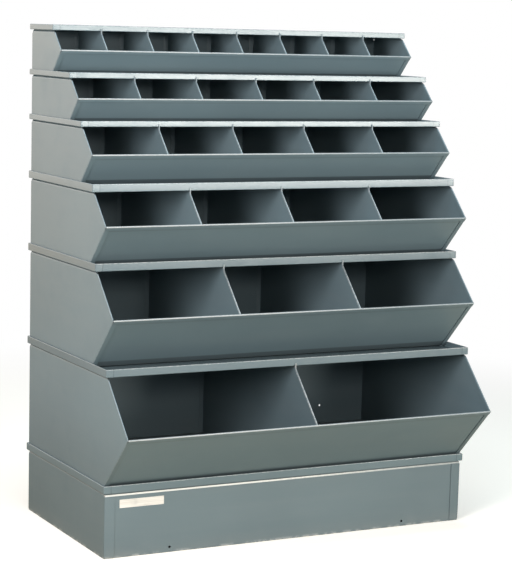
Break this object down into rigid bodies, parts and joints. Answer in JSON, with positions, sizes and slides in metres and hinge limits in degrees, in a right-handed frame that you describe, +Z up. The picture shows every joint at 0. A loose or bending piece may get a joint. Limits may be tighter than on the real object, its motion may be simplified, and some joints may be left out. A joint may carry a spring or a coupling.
{
  "type": "bin shelving unit",
  "caption": "Free-standing steel bin shelving unit: stepped sections of sloped, divided open-front bins, deeper towards the floor, on a plinth.",
  "frame": {"origin": "on the floor, under the middle of the unit's bounding box", "axes": "+Z up, the open bins face -Y, +X to the right as seen from the front"},
  "size_m": [0.9228, 0.5961, 1.1494],
  "materials": {
    "casing_paint": "semi-gloss blue-grey enamel on sheet steel",
    "bin_paint": "semi-gloss blue-grey enamel on sheet steel",
    "cover_paint": "semi-gloss blue-grey enamel on sheet steel",
    "plinth_paint": "semi-gloss blue-grey enamel on sheet steel"
  },
  "bodies": {
    "root": {"tier1_left_side": "casing_paint", "tier1_right_side": "casing_paint", "tier1_back": "casing_paint", "tier1_tray": "bin_paint", "tier1_divider_1": "bin_paint", "tier1_divider_2": "bin_paint", "tier1_divider_3": "bin_paint", "tier1_divider_4": "bin_paint", "tier1_divider_5": "bin_paint", "tier1_divider_6": "bin_paint", "tier1_divider_7": "bin_paint", "top_cover": "cover_paint", "tier2_left_side": "casing_paint", "tier2_right_side": "casing_paint", "tier2_back": "casing_paint", "tier2_tray": "bin_paint", "tier2_divider_1": "bin_paint", "tier2_divider_2": "bin_paint", "tier2_divider_3": "bin_paint", "tier2_divider_4": "bin_paint", "tier2_divider_5": "bin_paint", "tier2_cover": "cover_paint", "tier3_left_side": "casing_paint", "tier3_right_side": "casing_paint", "tier3_back": "casing_paint", "tier3_tray": "bin_paint", "tier3_divider_1": "bin_paint", "tier3_divider_2": "bin_paint", "tier3_divider_3": "bin_paint", "tier3_divider_4": "bin_paint", "tier3_cover": "cover_paint", "tier4_left_side": "casing_paint", "tier4_right_side": "casing_paint", "tier4_back": "casing_paint", "tier4_tray": "bin_paint", "tier4_divider_1": "bin_paint", "tier4_divider_2": "bin_paint", "tier4_divider_3": "bin_paint", "tier4_cover": "cover_paint", "tier5_left_side": "casing_paint", "tier5_right_side": "casing_paint", "tier5_back": "casing_paint", "tier5_tray": "bin_paint", "tier5_divider_1": "bin_paint", "tier5_divider_2": "bin_paint", "tier5_cover": "cover_paint", "tier6_left_side": "casing_paint", "tier6_right_side": "casing_paint", "tier6_back": "casing_paint", "tier6_tray": "bin_paint", "tier6_divider_1": "bin_paint", "tier6_cover": "cover_paint", "base_left": "plinth_paint", "base_right": "plinth_paint", "base_front": "plinth_paint", "base_back": "plinth_paint", "base_cover": "cover_paint"}
  },
  "joints": []
}
